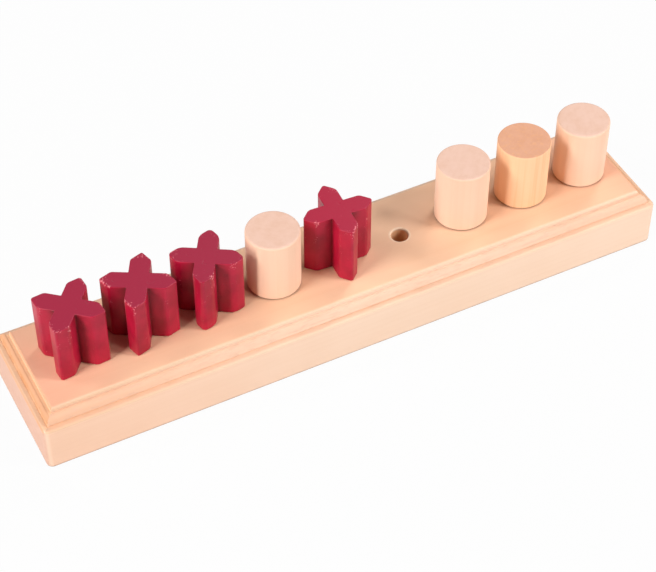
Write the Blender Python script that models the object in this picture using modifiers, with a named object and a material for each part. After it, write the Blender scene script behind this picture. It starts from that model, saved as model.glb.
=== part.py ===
"""A wooden jumping peg puzzle: a board with one row of drilled holes, four red X pegs and four round pegs.

Each peg is a wooden head on a dowel pin that stands loose in its hole. Metres, +Z up. The origin is the
middle of the board's underside, +X runs along the row of holes and -Y is the front.
"""

import math

import bmesh
import bpy
from mathutils import Matrix, Vector

# Board
BOARD_LENGTH = 0.300
BOARD_WIDTH = 0.0615
BLOCK_HEIGHT = 0.0229  # the plain lower block, up to the ledge of the moulding
CORNER_RADIUS = 0.002
BLOCK_ARRIS = 0.0009
FOOT_EASE = 0.0008

# Moulding routed round the top: ledge, ovolo, quirk and upper riser
LEDGE_WIDTH = 0.0029
OVOLO_WIDTH = 0.0025
OVOLO_RISE = 0.0037
QUIRK_WIDTH = 0.0008
UPPER_RISE = 0.0024
TOP_ARRIS = 0.0008
OVOLO_FACETS = 5
TIER_OVERLAP = 0.006  # how far the moulded tier is sunk into the block before they are joined

# Row of holes
HOLE_COUNT = 9
HOLE_PITCH = 0.0312
ROW_OFFSET = 0.0015  # the row was drilled a little to the right of the board's middle
HOLE_DEPTH = 0.0165
DRILL_POINT_DEG = 118.0

# Pins
PIN_DIAMETER = 0.0076
PIN_IN_BOARD = 0.0155
PIN_IN_HEAD = 0.0140
PIN_CHAMFER = 0.0008

# Heads
ROUND_DIAMETER = 0.0240
ROUND_HEIGHT = 0.0310
ROUND_TOP_EASE = 0.0007
ROUND_FOOT_EASE = 0.0003
X_SIDE = 0.0233  # side of the square bar that the X is cut from
X_ARM_WIDTH = 0.0090
X_HEIGHT = 0.0295
X_ARRIS = 0.0004

# Clearances
HOLE_CLEARANCE = 0.0003  # radial, pin in board
GLUE_GAP = 0.0002  # radial, pin in head
SEAT_GAP = 0.0003  # under each head
BORE_END_GAP = 0.0003  # above the pin, in the head

# Where each peg stands, counted from the left end, and how far each X is turned
X_SLOTS = (0, 1, 2, 4)
X_TURNS_DEG = (-40.0, -29.0, -31.0, -3.5)
ROUND_SLOTS = (3, 6, 7, 8)

# Facets
HEAD_STEPS = 40
PIN_STEPS = 24
RIM_FACETS = 2
CORNER_FACETS = 4

BOARD_TOP = BLOCK_HEIGHT + OVOLO_RISE + UPPER_RISE
HOLE_RADIUS = PIN_DIAMETER / 2 + HOLE_CLEARANCE
BORE_RADIUS = PIN_DIAMETER / 2 + GLUE_GAP
BORE_DEPTH = PIN_IN_HEAD + BORE_END_GAP - SEAT_GAP
CUT_PAST = 0.002  # how far a cutter reaches past the face that it enters

# Colours as seen, red, green and blue from 0 to 255
BOARD_COLOUR = (250, 208, 170)
PALE_PEG_COLOUR = (248, 210, 184)
DARKER_PEG_COLOUR = (244, 196, 156)
RED_COLOUR = (178, 40, 62)
PIN_COLOUR = (240, 205, 165)


def linear(colour):
    """A colour as seen, made the linear one that a shader takes."""
    shares = [value / 255 for value in colour]
    return [s / 12.92 if s <= 0.04045 else ((s + 0.055) / 1.055) ** 2.4 for s in shares]


def wood(name, colour, roughness):
    material = bpy.data.materials.new(name)
    material.use_nodes = True
    shader = material.node_tree.nodes["Principled BSDF"]
    shader.inputs["Base Color"].default_value = (*linear(colour), 1.0)
    shader.inputs["Roughness"].default_value = roughness
    shader.inputs["Metallic"].default_value = 0.0
    return material


def new_collection(name):
    collection = bpy.data.collections.new(name)
    bpy.context.scene.collection.children.link(collection)
    return collection


def add_object(name, data, collection):
    piece = bpy.data.objects.new(name, data)
    collection.objects.link(piece)
    return piece


def add_mesh(name, bm, collection):
    mesh = bpy.data.meshes.new(name)
    bm.to_mesh(mesh)
    bm.free()
    return add_object(name, mesh, collection)


def as_cutter(piece):
    piece.hide_render = True
    piece.display_type = "WIRE"
    return piece


def cut(piece, tool, operation="DIFFERENCE"):
    boolean = piece.modifiers.new(tool.name, "BOOLEAN")
    boolean.operation = operation
    boolean.solver = "EXACT"
    boolean.object = tool


def shade(piece, smooth_below_deg=40.0):
    piece.data.shade_smooth()
    piece.data.set_sharp_from_angle(angle=math.radians(smooth_below_deg))


def arc(centre, radius, start_deg, end_deg, facets):
    """Points on a quarter or other arc in the (radius, height) plane, ends included."""
    points = []
    for i in range(facets + 1):
        angle = math.radians(start_deg + (end_deg - start_deg) * i / facets)
        points.append((centre[0] + radius * math.cos(angle), centre[1] + radius * math.sin(angle)))
    return points


def turned(name, profile, steps, collection):
    """A solid of revolution about Z from (radius, height) points that run down the outer side."""
    bm = bmesh.new()
    verts = [bm.verts.new((radius, 0.0, height)) for radius, height in profile]
    for upper, lower in zip(verts, verts[1:]):
        bm.edges.new((upper, lower))
    piece = add_mesh(name, bm, collection)
    screw = piece.modifiers.new("turn", "SCREW")
    screw.axis = "Z"
    screw.steps = steps
    screw.render_steps = steps
    screw.use_merge_vertices = True
    screw.merge_threshold = 0.00001
    return piece


def block(length, width, low, high):
    """A box between two heights, centred on the Z axis."""
    bm = bmesh.new()
    size = Matrix.Diagonal((length, width, high - low, 1.0))
    bmesh.ops.create_cube(bm, size=1.0, matrix=Matrix.Translation((0.0, 0.0, (low + high) / 2)) @ size)
    return bm


def bevel(bm, edges, width, facets):
    bmesh.ops.bevel(
        bm, geom=edges, offset=width, segments=facets, profile=0.5, affect="EDGES", clamp_overlap=True, material=-1
    )


def is_upright(edge):
    return abs((edge.verts[0].co - edge.verts[1].co).normalized().z) > 0.9


def level_edges(bm, height):
    """The edges that lie in the level plane at a height and bound a face on it."""
    return [e for e in bm.edges if all(abs(v.co.z - height) < 1e-6 for v in e.verts)]


def make_block(collection):
    """The plain lower block, with rounded corners, an eased arris and an eased foot."""
    bm = block(BOARD_LENGTH, BOARD_WIDTH, 0.0, BLOCK_HEIGHT)
    bevel(bm, [e for e in bm.edges if is_upright(e)], CORNER_RADIUS, CORNER_FACETS)
    bevel(bm, level_edges(bm, BLOCK_HEIGHT), BLOCK_ARRIS, 2)
    bevel(bm, level_edges(bm, 0.0), FOOT_EASE, 1)
    return add_mesh("base_board", bm, collection)


def make_tier(collection):
    """The moulded tier: the top face is stepped in along the ovolo, then raised above the quirk."""
    low = BLOCK_HEIGHT - TIER_OVERLAP
    bm = block(BOARD_LENGTH - 2 * LEDGE_WIDTH, BOARD_WIDTH - 2 * LEDGE_WIDTH, low, BLOCK_HEIGHT)
    top = max(bm.faces, key=lambda face: face.calc_center_median().z)
    curve = [(OVOLO_WIDTH * (1 - math.cos(a)), OVOLO_RISE * math.sin(a))
             for a in (math.pi / 2 * i / OVOLO_FACETS for i in range(OVOLO_FACETS + 1))]
    steps = [(b[0] - a[0], b[1] - a[1]) for a, b in zip(curve, curve[1:])]
    steps += [(QUIRK_WIDTH, 0.0), (0.0, UPPER_RISE)]
    for inset, rise in steps:
        bmesh.ops.inset_region(bm, faces=[top], thickness=inset, depth=rise, use_even_offset=True)
    bevel(bm, level_edges(bm, BOARD_TOP), TOP_ARRIS, 2)
    return as_cutter(add_mesh("moulded_tier", bm, collection))


def slot_x(slot):
    return ROW_OFFSET + HOLE_PITCH * (slot - (HOLE_COUNT - 1) / 2)


def make_drill(slot, collection):
    """The drill that makes one hole, with its cone point."""
    point = HOLE_RADIUS / math.tan(math.radians(DRILL_POINT_DEG / 2))
    profile = [(0.0, CUT_PAST), (HOLE_RADIUS, CUT_PAST), (HOLE_RADIUS, -HOLE_DEPTH), (0.0, -HOLE_DEPTH - point)]
    drill = as_cutter(turned(f"drill_{slot}", profile, PIN_STEPS, collection))
    drill.location = (slot_x(slot), 0.0, BOARD_TOP)
    return drill


def make_board(parts, cutters, material):
    board = make_block(parts)
    cut(board, make_tier(cutters), "UNION")
    for slot in range(HOLE_COUNT):
        cut(board, make_drill(slot, cutters))
    board.data.materials.append(material)
    return board


def peg_axis(name, slot, turn_deg, collection):
    """An empty on a hole's axis at the board's top, which carries one peg."""
    axis = add_object(name, None, collection)
    axis.empty_display_size = ROUND_DIAMETER
    axis.location = (slot_x(slot), 0.0, BOARD_TOP)
    axis.rotation_euler = (0.0, 0.0, math.radians(turn_deg))
    return axis


def make_pin(name, axis, collection, material):
    """A dowel with chamfered ends, from inside the head down into the board."""
    radius = PIN_DIAMETER / 2
    chamfered = radius - PIN_CHAMFER
    profile = [
        (0.0, PIN_IN_HEAD),
        (chamfered, PIN_IN_HEAD),
        (radius, PIN_IN_HEAD - PIN_CHAMFER),
        (radius, PIN_CHAMFER - PIN_IN_BOARD),
        (chamfered, -PIN_IN_BOARD),
        (0.0, -PIN_IN_BOARD),
    ]
    pin = turned(name, profile, PIN_STEPS, collection)
    pin.data.materials.append(material)
    pin.parent = axis
    shade(pin)
    return pin


def make_round_head(name, axis, collection, material):
    """A short length of dowel with eased rims and a blind bore for its pin."""
    radius = ROUND_DIAMETER / 2
    rim = (radius - ROUND_TOP_EASE, ROUND_HEIGHT - ROUND_TOP_EASE)
    profile = [(0.0, ROUND_HEIGHT)]
    profile += arc(rim, ROUND_TOP_EASE, 90.0, 0.0, RIM_FACETS)
    profile += [
        (radius, ROUND_FOOT_EASE),
        (radius - ROUND_FOOT_EASE, 0.0),
        (BORE_RADIUS, 0.0),
        (BORE_RADIUS, BORE_DEPTH),
        (0.0, BORE_DEPTH),
    ]
    head = turned(name, profile, HEAD_STEPS, collection)
    head.data.materials.append(material)
    head.parent = axis
    head.location.z = SEAT_GAP
    shade(head)
    return head


def x_outline():
    """The X seen from above: four arms along a square bar's diagonals, with the bar's corners as points."""
    tip = X_SIDE / math.sqrt(2)
    half = X_ARM_WIDTH / 2
    arm = [Vector((tip - half, -half)), Vector((tip, 0.0)), Vector((tip - half, half)), Vector((half, half))]
    return [Matrix.Rotation(quarter * math.pi / 2, 2) @ point for quarter in range(4) for point in arm]


def make_x_blank(name, collection):
    """The X outline raised to its height, as one closed mesh that stands on z = 0."""
    outline = x_outline()
    curve = bpy.data.curves.new(name, "CURVE")
    curve.dimensions = "2D"
    curve.fill_mode = "BOTH"
    curve.extrude = X_HEIGHT / 2
    spline = curve.splines.new("POLY")
    spline.points.add(len(outline) - 1)
    for point, place in zip(spline.points, outline):
        point.co = (place.x, place.y, 0.0, 1.0)
    spline.use_cyclic_u = True
    flat = add_object(name + "_outline", curve, collection)
    bpy.context.view_layer.update()
    evaluated = flat.evaluated_get(bpy.context.evaluated_depsgraph_get())
    mesh = bpy.data.meshes.new_from_object(evaluated)
    bpy.data.objects.remove(flat)
    bm = bmesh.new()
    bm.from_mesh(mesh)
    bmesh.ops.remove_doubles(bm, verts=bm.verts, dist=0.000001)
    bmesh.ops.dissolve_limit(bm, angle_limit=math.radians(1.0), verts=bm.verts, edges=bm.edges)
    bmesh.ops.translate(bm, verts=bm.verts, vec=(0.0, 0.0, X_HEIGHT / 2))
    bm.to_mesh(mesh)
    bm.free()
    mesh.name = name
    return add_object(name, mesh, collection)


def make_x_head(name, axis, parts, cutters, material):
    """An X head with eased arrises and a blind bore for its pin."""
    head = make_x_blank(name, parts)
    head.data.materials.append(material)
    head.parent = axis
    head.location.z = SEAT_GAP
    ease = head.modifiers.new("ease", "BEVEL")
    ease.width = X_ARRIS
    ease.segments = 1
    ease.limit_method = "ANGLE"
    ease.angle_limit = math.radians(30.0)
    profile = [(0.0, BORE_DEPTH), (BORE_RADIUS, BORE_DEPTH), (BORE_RADIUS, -CUT_PAST), (0.0, -CUT_PAST)]
    bore = as_cutter(turned(name + "_bore", profile, PIN_STEPS, cutters))
    bore.parent = axis
    bore.location.z = SEAT_GAP
    cut(head, bore)
    return head


def main():
    for old in list(bpy.data.objects):
        bpy.data.objects.remove(old)
    parts = new_collection("peg_puzzle")
    cutters = new_collection("cutters")
    red = wood("red_paint", RED_COLOUR, 0.4)
    pale = wood("pale_peg_wood", PALE_PEG_COLOUR, 0.6)
    darker = wood("darker_peg_wood", DARKER_PEG_COLOUR, 0.6)
    dowel = wood("dowel_wood", PIN_COLOUR, 0.65)
    make_board(parts, cutters, wood("board_wood", BOARD_COLOUR, 0.5))
    for number, (slot, turn_deg) in enumerate(zip(X_SLOTS, X_TURNS_DEG), start=1):
        axis = peg_axis(f"x_axis_{number}", slot, turn_deg, parts)
        make_x_head(f"x_head_{number}", axis, parts, cutters, red)
        make_pin(f"x_pin_{number}", axis, parts, dowel)
    round_woods = (pale, pale, darker, pale)
    for number, (slot, material) in enumerate(zip(ROUND_SLOTS, round_woods), start=1):
        axis = peg_axis(f"round_axis_{number}", slot, 0.0, parts)
        make_round_head(f"round_head_{number}", axis, parts, material)
        make_pin(f"round_pin_{number}", axis, parts, dowel)


main()
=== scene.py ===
"""The looks of a wooden jumping peg puzzle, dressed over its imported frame.

A moulded board carries four red X pegs and four plain round pegs, each on a dowel pin that stands in a hole.
Metres, +Z up, +X along the row of holes, -Y the front.
"""

import math

import bmesh
import bpy
from mathutils import Matrix, Vector


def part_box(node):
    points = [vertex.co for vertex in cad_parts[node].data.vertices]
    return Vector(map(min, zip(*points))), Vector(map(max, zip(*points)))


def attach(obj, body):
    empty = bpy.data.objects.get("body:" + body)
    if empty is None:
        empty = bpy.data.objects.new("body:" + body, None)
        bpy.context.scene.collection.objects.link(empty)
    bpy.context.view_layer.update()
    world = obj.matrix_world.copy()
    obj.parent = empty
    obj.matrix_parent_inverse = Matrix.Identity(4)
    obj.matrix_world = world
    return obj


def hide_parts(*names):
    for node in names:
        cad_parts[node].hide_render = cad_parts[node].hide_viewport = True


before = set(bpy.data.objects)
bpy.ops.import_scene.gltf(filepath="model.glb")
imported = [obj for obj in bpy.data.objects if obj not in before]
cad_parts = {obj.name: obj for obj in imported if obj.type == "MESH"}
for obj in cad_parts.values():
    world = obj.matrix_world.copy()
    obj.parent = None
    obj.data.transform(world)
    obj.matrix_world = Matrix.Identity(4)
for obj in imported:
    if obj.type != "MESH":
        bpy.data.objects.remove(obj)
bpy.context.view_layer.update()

# Board: the block, then the moulding from its ledge up
BOARD_LOW, BOARD_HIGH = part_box("base_board")
BLOCK_HEIGHT = 0.0229
CORNER_RADIUS = 0.0028
BLOCK_ARRIS = 0.0012
FOOT_EASE = 0.0011
LEDGE_WIDTH = 0.0029
OVOLO_WIDTH = 0.0025
OVOLO_RISE = 0.0037
QUIRK_WIDTH = 0.0008
TOP_ARRIS = 0.0014
TIER_SUNK = 0.006  # how far the moulded tier starts inside the block that it is joined to

# Row of holes
HOLE_COUNT = 9
HOLE_PITCH = 0.0312
ROW_OFFSET = 0.0015
HOLE_RADIUS = 0.0040
HOLE_DEPTH = 0.0165
HOLE_RIM_EASE = 0.0004
DRILL_POINT_DEG = 118.0
CUT_PAST = 0.002  # how far a cutter reaches past the face that it enters

# Pegs
PIN_RADIUS = 0.0038
PIN_CHAMFER = 0.0008
BORE_RADIUS = 0.0040
BORE_DEPTH = 0.0140
ROUND_RADIUS = 0.0120
ROUND_FOOT_EASE = 0.0003
ROUND_RIM_EASES = (0.0011, 0.0008, 0.0005, 0.0011)
DARKER_ROUND = 3  # the round peg that is cut from darker wood
X_SIDE = 0.0233
X_ARM_WIDTH = 0.0090
X_CORNERS = (0.0012, 0.0008, 0.0020, 0.0012)  # how round the upright corners of each peg are
X_TOP_ARRISES = (0.0011, 0.0007, 0.0007, 0.0011)
X_FOOT_ARRIS = 0.0003
X_FILLET = 0.0003
X_FOOT_WEAR = 0.7  # how worn the arrises are at the foot, against 1 at the top
X_FLAT_AREA = 0.00005  # a face larger than this is a flat, and not part of an eased edge
X_TURNS_DEG = (-40.0, -29.0, -31.0, -3.5)

# Facets and shading
HEAD_STEPS = 96
PIN_STEPS = 48
PIN_FACETS = 4
RIM_FACETS = 6
OVOLO_FACETS = 16
CORNER_FACETS = 8
ARRIS_FACETS = 4
FOOT_FACETS = 3
X_CORNER_FACETS = 6
X_SMALL_FACETS = 2
SHARP_DEG = 35.0
SAME_PLACE = 1e-6
UPRIGHT_SHARE = 0.9  # an edge that rises by more than this share of its length is upright

# Camera and light
IMAGE_WIDTH_MM = 36.0
LENS_MM = 107.49
CAMERA_AZIMUTH = -27.0
CAMERA_ELEVATION = 46.3
CAMERA_DISTANCE = 0.8944
CAMERA_TARGET = Vector((0.0024, 0.0110, 0.0))
AMBIENT_LEVEL = 0.02
SOFTBOXES = (  # name, azimuth and elevation in degrees, distance, side, level
    ("left_low", -70.0, 10.0, 1.8, 0.3, 0.31),
    ("left_middle", -72.0, 27.0, 1.8, 0.3, 0.30),
    ("left_high", -84.0, 42.0, 1.8, 0.4, 0.425),
    ("right_low", 48.0, 10.0, 1.7, 0.3, 0.28),
    ("front_fill", 26.0, 24.0, 1.7, 0.3, 0.22),
    ("right_high", 51.0, 42.0, 1.7, 0.4, 0.405),
    ("back_right", 125.0, 46.0, 1.6, 0.4, 0.30),
    ("back_left", -120.0, 50.0, 1.6, 0.4, 0.14),
)
FLOOR_WIDTH = 8.0
FLOOR_DROP = 0.00005
FLOOR_WHITE_SHARE = 0.96  # the rest of the floor takes the object's shadow

# Colours as seen, red, green and blue from 0 to 255
# The top face, and towards its ends: oranger and darker than the sides, partly flat-sawn grain and partly
# painted shade.
BOARD_TOP = (240, 194, 159)
BOARD_TOP_ENDS = (238, 179, 147)
BOARD_SIDE = (236, 204, 179)
BOARD_WARM = (238, 196, 168)  # towards one end of the plank
BOARD_END = (212, 170, 149)
BOARD_ARRIS = (222, 194, 165)
# Painted shade: the moulding darker than the sides, against the light its slopes catch.
BOARD_MOULDING = (231, 190, 164)
# Painted shade on the ends' ovolo, against the light it catches; also the warm band along the long sides'
# moulding.
BOARD_END_OVOLO = (220, 164, 126)
# Painted light on the ends' quirk and riser, against their shade.
BOARD_END_QUIRK_LIGHT = (236, 188, 150)
# Painted shade on the ends' arrises, against the light they catch.
BOARD_END_ARRIS = (226, 168, 132)
# Painted light on the ends' ledge, against the shade of the ovolo above it.
BOARD_END_LEDGE = (238, 196, 162)
# Painted shade in the inner corner of the ends' ledge.
BOARD_END_CORNER_SHADE = (206, 144, 98)
BOARD_DUST_AND_SHADE = (212, 166, 128)  # painted shade and dust in the inner corners of the moulding
BOARD_STREAK = (216, 174, 150)  # along the moulding, where the cutter lifted the grain
BOARD_DRILLED = (228, 178, 136)
BOARD_RIM = (246, 216, 188)  # round each hole, where the drill broke through
FOOT_CONTACT_SHADE = (112, 70, 44)  # painted contact shade along the lower edge of the board and of the round heads
PALE_SIDE = (238, 196, 168)
PALE_END = (223, 184, 164)
DARKER_SIDE = (246, 194, 152)
DARKER_END = (214, 157, 126)
DARKER_STREAK = (226, 166, 116)
DOWEL_SIDE = (234, 198, 160)
DOWEL_END = (226, 182, 150)
FLOOR_CARD = (200, 200, 200)
PAINT_DEEP = (152, 14, 44)
PAINT_BRIGHT = (176, 19, 53)
PAINT_END = (147, 23, 53)  # on end grain, which soaks paint up
PAINT_END_FRESH = (160, 14, 50)  # on the peg that was painted last
PAINT_POOLED_AND_SHADED = (112, 4, 22)  # painted shade down the grooves, where the paint also ran together
# Chipped paint along the arrises, which also stands in as painted glints.
PAINT_CHIP_AND_GLINT = (220, 122, 130)

# Grain
GRAIN_TINT = (0.03, 0.055, 0.085)  # how much of each colour the grain takes away at its deepest
WAVE_PITCH = 2 * math.pi / 20  # from ring to ring of a wave texture whose scale is 1
RING_WIDTH = 0.0026
DARKER_RING_WIDTH = 0.0016
BOARD_PITH = (0.0, 0.025, -0.070)
PALE_PITH = (0.010, 0.050, 0.0)
DARKER_PITH = (0.060, 0.045, 0.0)
DOWEL_PITH = (0.0, 0.030, 0.0)

# Where marks on the wood change, as distances from the height, edge or wall that each function names
MITRE_SPAN = (-0.0003, 0.0003)
TOP_SPAN = (-TOP_ARRIS, -TOP_ARRIS / 3)
MOULDING_SPAN = (-0.0003, -0.0001)
PAST_LEDGE_SPAN = (0.0, 0.0003)
TOP_ARRIS_LINE = (-0.0014, -0.0008, -0.0003, 0.0)
LEDGE_ARRIS_LINE = (-0.0012, -0.0006, 0.0, 0.0004)
LEDGE_ARRIS_SPAN = (0.0004, 0.0010)
OVOLO_FOOT_LINE = (0.0003, 0.0008, 0.0011, 0.0022)
SIDE_QUIRK_SPAN = (-0.0008, 0.0)
END_QUIRK_SPAN = (-0.0006, -0.0002)
END_CORNER_SPAN = (-0.0007, 0.0001)
END_CORNER_FALL = (0.0012, 0.0034)
DUST_AND_SHADE_SPAN = (0.0008, 0.0014)
DUST_AND_SHADE_CORNER_SPAN = (-0.0016, -0.0002)
DUST_AND_SHADE_FALL = (0.0001, 0.0005)
WARM_RISE = (-0.0012, -0.0006)
WARM_FALL = (-0.0004, -0.0001)
WARM_INSET_FALL = (0.0080, 0.0085)
BOARD_FOOT_FALL = (0.0007, 0.0017)
HEAD_FOOT_FALL = (0.0006, 0.0012)
DRILLED_FALL = (0.0, 0.0002)
DRILLED_TOP_FALL = (-0.0016, -HOLE_RIM_EASE)
HOLE_RIM_LINE = (0.0, 0.0002, 0.0007, 0.0012)
HOLE_RIM_SPAN = (-2 * HOLE_RIM_EASE, -HOLE_RIM_EASE)

# Where marks change along the board, as places on the X axis
TOP_ENDS_START = 0.095
WARM_END_STOP = 0.02
WARM_LEFT_STOP = -0.03
WARM_RIGHT_START = 0.04
DUST_AND_SHADE_THINNED = (0.02, 0.13)
FRESH_PAINT_START = (-0.04, -0.02)

# Sockets of a Mix node for colours, by number because their names repeat
MIX_FACTOR = 0
MIX_FIRST = 6
MIX_SECOND = 7
MIX_RESULT = 2


def linear(colour):
    """A colour as seen, made the linear one that a shader takes."""
    shares = [value / 255 for value in colour]
    return [s / 12.92 if s <= 0.04045 else ((s + 0.055) / 1.055) ** 2.4 for s in shares]


def opaque(colour):
    return linear(colour) + [1.0]


class Tone:
    """A socket of a node tree. Arithmetic on it adds Math nodes, and node() adds any other node."""

    def __init__(self, tree, socket=None):
        self.tree = tree
        self.socket = socket

    def node(self, kind, settings, sockets, output=0):
        made = self.tree.nodes.new(kind)
        for name, value in settings.items():
            setattr(made, name, value)
        for name, value in sockets.items():
            if isinstance(value, Tone):
                self.tree.links.new(value.socket, made.inputs[name])
            else:
                made.inputs[name].default_value = value
        return Tone(self.tree, made.outputs[output])

    def maths(self, operation, *values):
        return self.node("ShaderNodeMath", {"operation": operation}, dict(enumerate(values)))

    def __add__(self, other):
        return self.maths("ADD", self, other)

    __radd__ = __add__

    def __sub__(self, other):
        return self.maths("SUBTRACT", self, other)

    def __rsub__(self, other):
        return self.maths("SUBTRACT", other, self)

    def __mul__(self, other):
        return self.maths("MULTIPLY", self, other)

    __rmul__ = __mul__

    def __pow__(self, other):
        return self.maths("POWER", self, other)

    def between(self, low, high):
        """0 below low, 1 above high, and a smooth rise between."""
        values = {"Value": self, "From Min": low, "From Max": high}
        return self.node("ShaderNodeMapRange", {"interpolation_type": "SMOOTHSTEP"}, values)

    def rise(self, origin, span):
        """0 before a span that is measured from an origin, and 1 after it."""
        return self.between(origin + span[0], origin + span[1])

    def fall(self, origin, span):
        """1 before a span that is measured from an origin, and 0 after it."""
        return 1 - self.rise(origin, span)

    def line(self, origin, ends):
        """A rise over the first two ends, which are measured from an origin, and a fall over the last two."""
        return self.rise(origin, ends[:2]) * self.fall(origin, ends[2:])

    def mix(self, first, second):
        """The first colour where this tone is 0 and the second where it is 1."""
        sockets = {MIX_FACTOR: self, MIX_FIRST: first, MIX_SECOND: second}
        return self.node("ShaderNodeMix", {"data_type": "RGBA"}, sockets, MIX_RESULT)

    def times(self, colour):
        """This colour multiplied by another one."""
        settings = {"data_type": "RGBA", "blend_type": "MULTIPLY"}
        sockets = {MIX_FACTOR: 1.0, MIX_FIRST: self, MIX_SECOND: colour}
        return self.node("ShaderNodeMix", settings, sockets, MIX_RESULT)

    def size(self):
        return self.maths("ABSOLUTE", self)

    def part(self, axis):
        return self.node("ShaderNodeSeparateXYZ", {}, {"Vector": self}, axis)

    def placed(self, location=(0.0, 0.0, 0.0), scale=(1.0, 1.0, 1.0)):
        return self.node("ShaderNodeMapping", {}, {"Vector": self, "Location": location, "Scale": scale})

    def noise(self, scale, detail=2.0, roughness=0.5):
        values = {"Vector": self, "Scale": scale, "Detail": detail, "Roughness": roughness}
        return self.node("ShaderNodeTexNoise", {}, values)

    def bump(self, strength, distance):
        """A Normal made from this height."""
        return self.node("ShaderNodeBump", {}, {"Strength": strength, "Distance": distance, "Height": self})


def new_material(name):
    material = bpy.data.materials.new(name)
    material.use_nodes = True
    return material, Tone(material.node_tree)


def set_shader(material, values):
    shader = material.node_tree.nodes["Principled BSDF"]
    for name, value in values.items():
        if isinstance(value, Tone):
            material.node_tree.links.new(value.socket, shader.inputs[name])
        else:
            shader.inputs[name].default_value = value


def unmarked(coords):
    """The marks of wood that has none."""
    return ()


def wood(name, grain, pith, side, end, marks=unmarked, ring_width=RING_WIDTH):
    """Sanded pale wood. Grain is the axis along the fibres, and pith a point on the tree's middle line.

    From the Object coordinates, marks makes pairs of a colour and its mask, the lowest pair first.
    """
    material, tones = new_material(name)
    coords = tones.node("ShaderNodeTexCoord", {}, {}, "Object")
    along_grain = tones.node("ShaderNodeTexCoord", {}, {}, "Normal").part(grain)

    def stretched(along, across):
        return tuple(along if axis == grain else across for axis in "XYZ")

    ring_sockets = {
        "Vector": coords.placed([-value for value in pith]).placed(scale=stretched(along=0.04, across=1.0)),
        "Scale": WAVE_PITCH / ring_width,
        "Distortion": 6.0,
        "Detail": 2.0,
        "Detail Scale": 0.10,
    }
    ring_settings = {"wave_type": "RINGS", "rings_direction": grain, "wave_profile": "SAW"}
    rings = tones.node("ShaderNodeTexWave", ring_settings, ring_sockets, "Fac") ** 3
    fibres = coords.placed(scale=stretched(along=20.0, across=1300.0)).noise(1.0, detail=3.0, roughness=0.6)
    bands = coords.placed(scale=stretched(along=4.0, across=150.0)).noise(1.0)
    flecks = coords.placed(scale=stretched(along=260.0, across=1700.0)).noise(1.0, detail=1.0)
    flecks = flecks.between(0.66, 0.76)
    patches = coords.noise(30.0)
    is_end = along_grain.size().between(0.5, 0.9)
    sawn = is_end * (coords.noise(260.0, detail=4.0, roughness=0.6) - 0.5)

    colour = is_end.mix(opaque(side), opaque(end))
    for mark_colour, mask in marks(coords):
        colour = mask.mix(colour, opaque(mark_colour))
    depth = rings * 0.10 + fibres * 0.12 + bands * 0.38 + patches * 0.50 + flecks * 0.12 + sawn * 1.4
    lightest = [1.0 + tint for tint in GRAIN_TINT] + [1.0]
    deepest = [1.0 - tint for tint in GRAIN_TINT] + [1.0]
    relief = fibres * 0.5 + rings * 0.3 - flecks * 0.4
    set_shader(material, {
        "Base Color": colour.times(depth.between(0.2, 1.0).mix(lightest, deepest)),
        "Roughness": 0.50 + fibres * 0.16,
        "Specular IOR Level": 0.22,
        "Normal": relief.bump(strength=0.12, distance=0.0001),
    })
    return material


class BoardPlace:
    """Where a point lies on the board, as tones that its marks share."""

    def __init__(self, coords):
        self.coords = coords
        self.x = coords.part("X")
        self.z = coords.part("Z")
        y = coords.part("Y")
        from_end = BOARD_HIGH.x - self.x.size()
        from_side = BOARD_HIGH.y - y.size()
        along = self.x - ROW_OFFSET
        along = along.maths("WRAP", along, HOLE_PITCH / 2, -HOLE_PITCH / 2)
        self.inset = from_end.maths("MINIMUM", from_end, from_side)  # from the nearest outer side
        self.from_hole = (along ** 2 + y ** 2) ** 0.5  # from the middle line of the nearest hole
        self.long_side = (from_end - from_side).rise(0.0, MITRE_SPAN)  # 1 on the long sides' moulding
        self.end = 1 - self.long_side
        self.top = self.z.rise(BOARD_HIGH.z, TOP_SPAN)  # 1 on the top face
        self.moulding = self.z.rise(BLOCK_HEIGHT, MOULDING_SPAN) * (1 - self.top)  # 1 from the ledge up
        self.past_ledge = self.inset.rise(LEDGE_WIDTH, PAST_LEDGE_SPAN)
        ledge_arris = self.z.line(BLOCK_HEIGHT, LEDGE_ARRIS_LINE) * self.inset.fall(0.0, LEDGE_ARRIS_SPAN)
        self.arrises = self.z.line(BOARD_HIGH.z, TOP_ARRIS_LINE) + ledge_arris
        # Random patches that vary the painted shade and dust on the moulding.
        self.wear = coords.noise(140.0, detail=3.0).between(0.3, 0.7)


def top_ends(place):
    """1 on the top face towards both ends of the board."""
    return place.top * place.x.size().between(TOP_ENDS_START, BOARD_HIGH.x)


def warm_end(place):
    """1 on the sides near the left end of the board, falling to 0 by its middle."""
    near_end = 1 - place.x.between(BOARD_LOW.x, WARM_END_STOP)
    return place.x.between(BOARD_LOW.x, BOARD_LOW.x + CORNER_RADIUS) * near_end


def end_quirk_light(place):
    """Painted light against the shade there: 1 on the quirk of the two ends and the riser above it."""
    return place.moulding * place.end * place.inset.rise(LEDGE_WIDTH + OVOLO_WIDTH, END_QUIRK_SPAN)


def end_corner_shade(place):
    """Painted shade, up to 1 along the inner corner of the ends' ledge and the foot of the ovolo above it."""
    corner = place.inset.rise(LEDGE_WIDTH, END_CORNER_SPAN) * place.z.fall(BLOCK_HEIGHT, END_CORNER_FALL)
    return place.moulding * place.end * corner * (0.5 + place.wear * 0.5)


def painted_light_lines(place):
    """Painted light along the long sides: lighter on the quirk against its shade, and a highlight at the
    ovolo's foot.
    """
    foot = place.z.line(BLOCK_HEIGHT, OVOLO_FOOT_LINE)
    quirk = place.inset.rise(LEDGE_WIDTH + OVOLO_WIDTH, SIDE_QUIRK_SPAN) * (1 - place.top)
    return (foot * 0.7 + quirk * 0.45) * place.long_side


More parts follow.
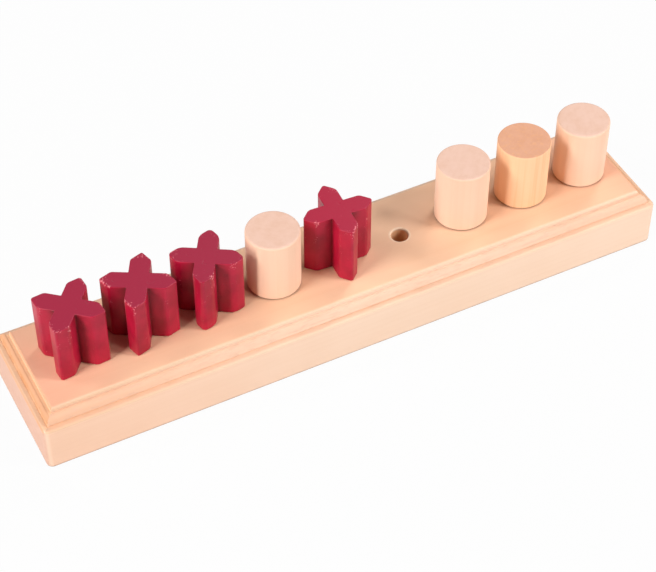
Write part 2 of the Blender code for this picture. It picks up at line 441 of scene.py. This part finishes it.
def warm_moulding(place):
    """Strongest on the long sides' moulding near its left end, weaker near its right, without the arrises."""
    band = place.z.rise(BLOCK_HEIGHT, WARM_RISE) * place.z.fall(BOARD_HIGH.z, WARM_FALL)
    near_left = 1 - place.x.between(BOARD_LOW.x, WARM_LEFT_STOP)
    near_right = place.x.between(WARM_RIGHT_START, BOARD_HIGH.x) * (1 - place.arrises)
    shown = place.inset.fall(0.0, WARM_INSET_FALL)
    return band * place.long_side * (near_left * 0.5 + near_right * 0.30) * shown


def moulding_streaks(place):
    """Thin streaks along the moulding of the long sides."""
    streaks = place.coords.placed(scale=(170.0, 900.0, 900.0)).noise(1.0, detail=3.0, roughness=0.6)
    return place.moulding * place.long_side * streaks.between(0.50, 0.66) * 0.5


def moulding_dust_and_shade(place):
    """Painted shade with dust: darker along the long sides' ledge, most in its inner corner and least at the
    right end.
    """
    ledge = place.inset.rise(0.0, DUST_AND_SHADE_SPAN) * 0.7 + place.inset.rise(LEDGE_WIDTH, DUST_AND_SHADE_CORNER_SPAN) * 0.3
    ledge = ledge * place.z.fall(BLOCK_HEIGHT, DUST_AND_SHADE_FALL)
    strength = 0.40 - place.x.between(*DUST_AND_SHADE_THINNED) * 0.24
    return place.moulding * ledge * (0.4 + place.wear * 0.6) * place.long_side * strength


def drilled(place):
    """1 on the walls of the holes."""
    return place.from_hole.fall(HOLE_RADIUS, DRILLED_FALL) * place.z.fall(BOARD_HIGH.z, DRILLED_TOP_FALL)


def hole_rims(place):
    """A broken ring of pale fibres round each hole."""
    ring = place.from_hole.line(HOLE_RADIUS, HOLE_RIM_LINE) * place.z.rise(BOARD_HIGH.z, HOLE_RIM_SPAN)
    return ring * place.coords.noise(260.0).between(0.30, 0.55) * 0.8


def contact_shade(coords, height, fall, scale, least, rest):
    """Painted contact shade along a lower edge at a height, in patches. Its strength goes from least up to
    least plus rest.
    """
    patchy = coords.noise(scale, detail=3.0).between(0.2, 0.7)
    return coords.part("Z").fall(height, fall) * (least + patchy * rest)


def board_marks(coords):
    place = BoardPlace(coords)
    return (
        (BOARD_WARM, warm_end(place)),
        (BOARD_TOP, place.top),
        (BOARD_TOP_ENDS, top_ends(place)),
        (BOARD_MOULDING, place.moulding),
        (BOARD_END_OVOLO, place.moulding * place.end * place.past_ledge),
        (BOARD_END_QUIRK_LIGHT, end_quirk_light(place)),
        (BOARD_END_LEDGE, place.moulding * place.end * (1 - place.past_ledge)),
        (BOARD_END_ARRIS, place.arrises * place.end),
        (BOARD_END_CORNER_SHADE, end_corner_shade(place)),
        # Painted light along the quirk and the ovolo's foot of the long sides.
        (BOARD_SIDE, painted_light_lines(place)),
        (BOARD_ARRIS, place.arrises * place.long_side),
        (BOARD_END_OVOLO, warm_moulding(place)),
        (BOARD_STREAK, moulding_streaks(place)),
        (BOARD_DUST_AND_SHADE, moulding_dust_and_shade(place)),
        (BOARD_DRILLED, drilled(place)),
        (BOARD_RIM, hole_rims(place)),
        (FOOT_CONTACT_SHADE, contact_shade(coords, BOARD_LOW.z, BOARD_FOOT_FALL, scale=160.0, least=0.24, rest=0.26)),
    )


def head_marks(coords):
    foot = contact_shade(coords, BOARD_HIGH.z, HEAD_FOOT_FALL, scale=220.0, least=0.5, rest=0.4)
    return ((FOOT_CONTACT_SHADE, foot),)


def darker_head_marks(coords):
    """Thin streaks up the side, and the painted contact shade at the foot of every round head."""
    streaks = coords.placed(scale=(650.0, 650.0, 14.0)).noise(1.0).between(0.48, 0.72)
    return ((DARKER_STREAK, streaks * 0.36), *head_marks(coords))


def red_paint():
    """Satin red paint: duller on the end grain, pooled paint and painted shade down the grooves, chips and
    painted glints on the arrises.
    """
    material, tones = new_material("red_paint")
    coords = tones.node("ShaderNodeTexCoord", {}, {}, "Object")
    upward = tones.node("ShaderNodeTexCoord", {}, {}, "Normal").part("Z")
    arris = tones.node("ShaderNodeAttribute", {"attribute_name": "arris"}, {}, "Fac")
    groove = tones.node("ShaderNodeAttribute", {"attribute_name": "groove"}, {}, "Fac")
    is_top = upward.between(0.6, 0.95)
    is_fresh = coords.part("X").between(*FRESH_PAINT_START)
    cloudy = coords.noise(110.0, detail=3.0)
    peel = coords.noise(1100.0)
    fibres = coords.placed(scale=(800.0, 800.0, 30.0)).noise(1.0)
    dents = coords.noise(420.0, detail=0.0).between(0.76, 0.82)
    clusters = coords.noise(130.0, detail=1.0).between(0.40, 0.68)
    # Lighter chips along the arrises, which are also painted glints.
    chips_and_glints = coords.noise(1300.0, roughness=0.6) + arris ** 6 * (0.04 + clusters * 0.245)
    chips_and_glints = chips_and_glints.between(0.76, 0.84)

    sides = cloudy.between(0.3, 0.7).mix(opaque(PAINT_DEEP), opaque(PAINT_BRIGHT))
    # Painted shade down the grooves, with the paint that ran together there.
    sides = (groove ** 2).mix(sides, opaque(PAINT_POOLED_AND_SHADED))
    tops = is_fresh.mix(opaque(PAINT_END), opaque(PAINT_END_FRESH))
    relief = peel * 0.4 + fibres * 0.6 - chips_and_glints * 1.2 - dents * 2.0
    set_shader(material, {
        "Base Color": chips_and_glints.mix(is_top.mix(sides, tops), opaque(PAINT_CHIP_AND_GLINT)),
        "Roughness": 0.32 + chips_and_glints * 0.25 + cloudy * 0.08 + is_top * 0.09,
        "Specular IOR Level": 0.30,
        "Normal": relief.bump(strength=0.35, distance=0.00012),
    })
    return material


def add_piece(name, bm, material=None):
    """An object from a bmesh, which is freed."""
    mesh = bpy.data.meshes.new(name)
    bm.to_mesh(mesh)
    bm.free()
    return add_mesh(name, mesh, material)


def add_mesh(name, mesh, material=None):
    piece = bpy.data.objects.new(name, mesh)
    bpy.context.scene.collection.objects.link(piece)
    if material is not None:
        mesh.materials.clear()
        mesh.materials.append(material)
    return piece


def shade(piece):
    """Smooth over the eased edges and flat on the flats."""
    piece.data.shade_smooth()
    piece.data.set_sharp_from_angle(angle=math.radians(SHARP_DEG))
    weighted = piece.modifiers.new("weighted", "WEIGHTED_NORMAL")
    weighted.keep_sharp = True


def dress(piece, body, node):
    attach(piece, body)
    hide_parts(node)


def bevel(bm, edges, width, facets):
    bmesh.ops.bevel(
        bm, geom=edges, offset=width, segments=facets, profile=0.5, affect="EDGES", clamp_overlap=True,
        material=-1,
    )


def level_edges(bm, height):
    return [e for e in bm.edges if all(abs(v.co.z - height) < SAME_PLACE for v in e.verts)]


def upright_edges(bm):
    return [e for e in bm.edges if abs((e.verts[0].co - e.verts[1].co).normalized().z) > UPRIGHT_SHARE]


def box(length, width, low, high):
    bm = bmesh.new()
    size = Matrix.Diagonal((length, width, high - low, 1.0))
    bmesh.ops.create_cube(bm, size=1.0, matrix=Matrix.Translation((0.0, 0.0, (low + high) / 2)) @ size)
    return bm


def turned(profile, steps):
    """A closed bmesh turned about Z from (radius, height) points."""
    bm = bmesh.new()
    verts = [bm.verts.new((radius, 0.0, height)) for radius, height in profile]
    edges = [bm.edges.new(pair) for pair in zip(verts, verts[1:])]
    bmesh.ops.spin(
        bm, geom=verts + edges, axis=(0.0, 0.0, 1.0), cent=(0.0, 0.0, 0.0), angle=2 * math.pi, steps=steps,
        use_merge=True,
    )
    bmesh.ops.remove_doubles(bm, verts=bm.verts, dist=SAME_PLACE)
    bmesh.ops.recalc_face_normals(bm, faces=bm.faces)
    return bm


def arc(centre, radius, start_deg, end_deg, facets):
    angles = [math.radians(start_deg + (end_deg - start_deg) * i / facets) for i in range(facets + 1)]
    return [(centre[0] + radius * math.cos(a), centre[1] + radius * math.sin(a)) for a in angles]


def carved(name, base, tools, material):
    """The base bmesh after each (operation, bmesh) tool has been joined to it or cut out of it."""
    piece = add_piece(name + "_base", base)
    helpers = []
    for operation, tool in tools:
        helper = add_piece(name + "_tool", tool)
        boolean = piece.modifiers.new(operation, "BOOLEAN")
        boolean.operation = operation
        boolean.solver = "EXACT"
        boolean.object = helper
        helpers.append(helper)
    bpy.context.view_layer.update()
    mesh = bpy.data.meshes.new_from_object(piece.evaluated_get(bpy.context.evaluated_depsgraph_get()))
    for helper in [piece, *helpers]:
        bpy.data.objects.remove(helper)
    mesh.name = name
    return add_mesh(name, mesh, material)


def lower_block():
    size = BOARD_HIGH - BOARD_LOW
    bm = box(size.x, size.y, BOARD_LOW.z, BLOCK_HEIGHT)
    bevel(bm, upright_edges(bm), CORNER_RADIUS, CORNER_FACETS)
    bevel(bm, level_edges(bm, BLOCK_HEIGHT), BLOCK_ARRIS, ARRIS_FACETS)
    bevel(bm, level_edges(bm, BOARD_LOW.z), FOOT_EASE, FOOT_FACETS)
    return bm


def moulded_tier():
    """The top face is stepped in along the ovolo, then raised above the quirk."""
    size = BOARD_HIGH - BOARD_LOW
    bm = box(size.x - 2 * LEDGE_WIDTH, size.y - 2 * LEDGE_WIDTH, BLOCK_HEIGHT - TIER_SUNK, BLOCK_HEIGHT)
    top = max(bm.faces, key=lambda face: face.calc_center_median().z)
    turns = [math.pi / 2 * i / OVOLO_FACETS for i in range(OVOLO_FACETS + 1)]
    curve = [(OVOLO_WIDTH * (1 - math.cos(a)), OVOLO_RISE * math.sin(a)) for a in turns]
    steps = [(b[0] - a[0], b[1] - a[1]) for a, b in zip(curve, curve[1:])]
    steps += [(QUIRK_WIDTH, 0.0), (0.0, BOARD_HIGH.z - BLOCK_HEIGHT - OVOLO_RISE)]
    for inset, rise in steps:
        bmesh.ops.inset_region(bm, faces=[top], thickness=inset, depth=rise, use_even_offset=True)
    bevel(bm, level_edges(bm, BOARD_HIGH.z), TOP_ARRIS, ARRIS_FACETS)
    return bm


def drill(slot):
    """The drill of one hole: its cone point, its side and the eased rim."""
    point = HOLE_RADIUS / math.tan(math.radians(DRILL_POINT_DEG / 2))
    bm = turned([
        (0.0, -HOLE_DEPTH - point),
        (HOLE_RADIUS, -HOLE_DEPTH),
        (HOLE_RADIUS, -HOLE_RIM_EASE),
        (HOLE_RADIUS + HOLE_RIM_EASE, 0.0),
        (HOLE_RADIUS + HOLE_RIM_EASE, CUT_PAST),
        (0.0, CUT_PAST),
    ], PIN_STEPS)
    x = ROW_OFFSET + HOLE_PITCH * (slot - (HOLE_COUNT - 1) / 2)
    bmesh.ops.translate(bm, verts=bm.verts, vec=(x, 0.0, BOARD_HIGH.z))
    return bm


def moulded_board(material):
    tools = [("UNION", moulded_tier())] + [("DIFFERENCE", drill(slot)) for slot in range(HOLE_COUNT)]
    board = carved("moulded_board", lower_block(), tools, material)
    shade(board)
    dress(board, "board", "base_board")


def height_of(node):
    low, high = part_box(node)
    return high.z - low.z


def stand(bm, node, turn_deg=0.0):
    """Puts a bmesh made about the Z axis where its node stands."""
    low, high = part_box(node)
    place = Matrix.Translation(((low.x + high.x) / 2, (low.y + high.y) / 2, low.z))
    bmesh.ops.transform(bm, matrix=place @ Matrix.Rotation(math.radians(turn_deg), 4, "Z"), verts=bm.verts)


def dowel_pin(peg, number, material):
    node = f"{peg}_pin_{number}"
    height = height_of(node)
    bm = turned([
        (0.0, height),
        *arc((PIN_RADIUS - PIN_CHAMFER, height - PIN_CHAMFER), PIN_CHAMFER, 90.0, 0.0, PIN_FACETS),
        *arc((PIN_RADIUS - PIN_CHAMFER, PIN_CHAMFER), PIN_CHAMFER, 0.0, -90.0, PIN_FACETS),
        (0.0, 0.0),
    ], PIN_STEPS)
    stand(bm, node)
    pin = add_piece(f"{peg}_dowel_{number}", bm, material)
    shade(pin)
    dress(pin, f"{peg}_peg_{number}", node)


def round_head(number, rim_ease, material):
    node = f"round_head_{number}"
    height = height_of(node)
    bm = turned([
        (0.0, height),
        *arc((ROUND_RADIUS - rim_ease, height - rim_ease), rim_ease, 90.0, 0.0, RIM_FACETS),
        (ROUND_RADIUS, ROUND_FOOT_EASE),
        (ROUND_RADIUS - ROUND_FOOT_EASE, 0.0),
        (BORE_RADIUS, 0.0),
        (BORE_RADIUS, BORE_DEPTH),
        (0.0, BORE_DEPTH),
    ], HEAD_STEPS)
    stand(bm, node)
    head = add_piece(f"plain_round_{number}", bm, material)
    shade(head)
    dress(head, f"round_peg_{number}_head", node)


def is_outer(vert):
    """True away from the grooves of an X head that is still about the Z axis."""
    return Vector(vert.co[:2]).length > X_ARM_WIDTH


def x_blank(height, corner, top_arris):
    """A square bar with a V groove down each side and eased arrises, marked for wear, painted glints and
    painted shade.
    """
    tip = X_SIDE / math.sqrt(2)
    half = X_ARM_WIDTH / 2
    arm = [(tip - half, -half), (tip, 0.0), (tip - half, half), (half, half)]
    quarters = [Matrix.Rotation(quarter * math.pi / 2, 3, "Z") for quarter in range(4)]
    bm = bmesh.new()
    foot = bm.faces.new([bm.verts.new(turn @ Vector((*point, 0.0))) for turn in quarters for point in arm])
    raised = bmesh.ops.extrude_face_region(bm, geom=[foot])["geom"]
    raised_verts = [v for v in raised if isinstance(v, bmesh.types.BMVert)]
    bmesh.ops.translate(bm, verts=raised_verts, vec=(0.0, 0.0, height))
    bmesh.ops.recalc_face_normals(bm, faces=bm.faces)
    bevel(bm, [e for e in upright_edges(bm) if not is_outer(e.verts[0])], X_FILLET, X_SMALL_FACETS)
    bevel(bm, [e for e in upright_edges(bm) if is_outer(e.verts[0])], corner, X_CORNER_FACETS)
    bevel(bm, level_edges(bm, height), top_arris, ARRIS_FACETS)
    bevel(bm, level_edges(bm, 0.0), X_FOOT_ARRIS, X_SMALL_FACETS)
    mark_wear_and_groove_shade(bm, height)
    return bm


def mark_wear_and_groove_shade(bm, height):
    """Attributes that fall to 0 at the middle of each flat: arris, 1 on the outer edges and most at the top,
    and groove, 1 down the grooves, where shade is painted.
    """
    arris = bm.verts.layers.float.new("arris")
    groove = bm.verts.layers.float.new("groove")
    flats = [face for face in bm.faces if face.calc_area() > X_FLAT_AREA]
    middles = bmesh.ops.poke(bm, faces=flats)["verts"]
    for vert in bm.verts:
        wear = 1.0 if vert.co.z > height / 2 else X_FOOT_WEAR
        vert[arris] = wear if is_outer(vert) else 0.0
        vert[groove] = 0.0 if is_outer(vert) else 1.0
    for vert in middles:
        vert[arris] = 0.0
        vert[groove] = 0.0


def x_head(number, turn_deg, corner, top_arris, material):
    node = f"x_head_{number}"
    bm = x_blank(height_of(node), corner, top_arris)
    stand(bm, node, turn_deg)
    bore = turned([
        (0.0, -CUT_PAST),
        (BORE_RADIUS, -CUT_PAST),
        (BORE_RADIUS, BORE_DEPTH),
        (0.0, BORE_DEPTH),
    ], PIN_STEPS)
    stand(bore, node)
    head = carved(f"red_x_{number}", bm, [("DIFFERENCE", bore)], material)
    shade(head)
    dress(head, f"x_peg_{number}_head", node)


def seen_from(azimuth_deg, elevation_deg):
    """The unit vector towards a camera or lamp. Azimuth 0 is in front of the board, elevation 0 level."""
    azimuth, elevation = math.radians(azimuth_deg), math.radians(elevation_deg)
    level = math.cos(elevation)
    return Vector((math.sin(azimuth) * level, -math.cos(azimuth) * level, math.sin(elevation)))


def aim(thing, towards, distance, target):
    thing.location = target + towards * distance
    thing.rotation_mode = "QUATERNION"
    thing.rotation_quaternion = (-towards).to_track_quat("-Z", "Y")
    bpy.context.scene.collection.objects.link(thing)


def make_camera():
    camera = bpy.data.objects.new("camera", bpy.data.cameras.new("camera"))
    camera.data.sensor_fit = "HORIZONTAL"
    camera.data.sensor_width = IMAGE_WIDTH_MM
    camera.data.lens = LENS_MM
    aim(camera, seen_from(CAMERA_AZIMUTH, CAMERA_ELEVATION), CAMERA_DISTANCE, CAMERA_TARGET)
    bpy.context.scene.camera = camera


def softbox(name, azimuth_deg, elevation_deg, distance, side, level):
    """A square lamp. Level is how bright it makes a white card that faces it, where 1 is white."""
    lamp = bpy.data.lights.new(name, "AREA")
    lamp.size = side
    lamp.energy = level * math.pi ** 2 * distance ** 2
    aim(bpy.data.objects.new(name, lamp), seen_from(azimuth_deg, elevation_deg), distance, CAMERA_TARGET)


def direct_view(tones):
    """1 for a ray that shows a surface, in the picture or a reflection, 0 for one that lights the object."""
    kinds = ("Camera", "Glossy", "Transmission")
    camera, glossy, through = [tones.node("ShaderNodeLightPath", {}, {}, f"Is {kind} Ray") for kind in kinds]
    return tones.maths("MINIMUM", camera + glossy + through, 1.0)


def make_world():
    world = bpy.data.worlds.new("studio")
    bpy.context.scene.world = world
    world.use_nodes = True
    background = world.node_tree.nodes["Background"]
    background.inputs["Color"].default_value = (1.0, 1.0, 1.0, 1.0)
    strength = AMBIENT_LEVEL + direct_view(Tone(world.node_tree)) * (1.0 - AMBIENT_LEVEL)
    world.node_tree.links.new(strength.socket, background.inputs["Strength"])


def make_floor():
    """A floor that is seen as white and lights the object as a pale card."""
    bm = bmesh.new()
    bmesh.ops.create_grid(bm, x_segments=1, y_segments=1, size=FLOOR_WIDTH / 2)
    bmesh.ops.translate(bm, verts=bm.verts, vec=(0.0, 0.0, BOARD_LOW.z - FLOOR_DROP))
    material, tones = new_material("white_floor")
    set_shader(material, {"Base Color": opaque(FLOOR_CARD), "Roughness": 0.9, "Specular IOR Level": 0.0})
    nodes = material.node_tree.nodes
    glow = tones.node("ShaderNodeEmission", {}, {"Strength": 1.0})
    card = Tone(material.node_tree, nodes["Principled BSDF"].outputs[0])
    share = direct_view(tones) * FLOOR_WHITE_SHARE
    seen = tones.node("ShaderNodeMixShader", {}, {0: share, 1: card, 2: glow})
    material.node_tree.links.new(seen.socket, nodes["Material Output"].inputs["Surface"])
    add_piece("floor", bm, material)


def main():
    bpy.context.scene.view_settings.view_transform = "Standard"
    make_camera()
    make_world()
    make_floor()
    for settings in SOFTBOXES:
        softbox(*settings)

    moulded_board(wood("board_wood", "X", BOARD_PITH, BOARD_SIDE, BOARD_END, board_marks))
    pale = wood("pale_peg_wood", "Z", PALE_PITH, PALE_SIDE, PALE_END, head_marks)
    darker = wood(
        "darker_peg_wood", "Z", DARKER_PITH, DARKER_SIDE, DARKER_END, darker_head_marks, DARKER_RING_WIDTH
    )
    dowel = wood("dowel_wood", "Z", DOWEL_PITH, DOWEL_SIDE, DOWEL_END)
    red = red_paint()
    x_cuts = zip(X_TURNS_DEG, X_CORNERS, X_TOP_ARRISES)
    for number, (turn_deg, corner, top_arris) in enumerate(x_cuts, start=1):
        x_head(number, turn_deg, corner, top_arris, red)
        dowel_pin("x", number, dowel)
    for number, rim_ease in enumerate(ROUND_RIM_EASES, start=1):
        if number == DARKER_ROUND:
            round_head(number, rim_ease, darker)
        else:
            round_head(number, rim_ease, pale)
        dowel_pin("round", number, dowel)


main()
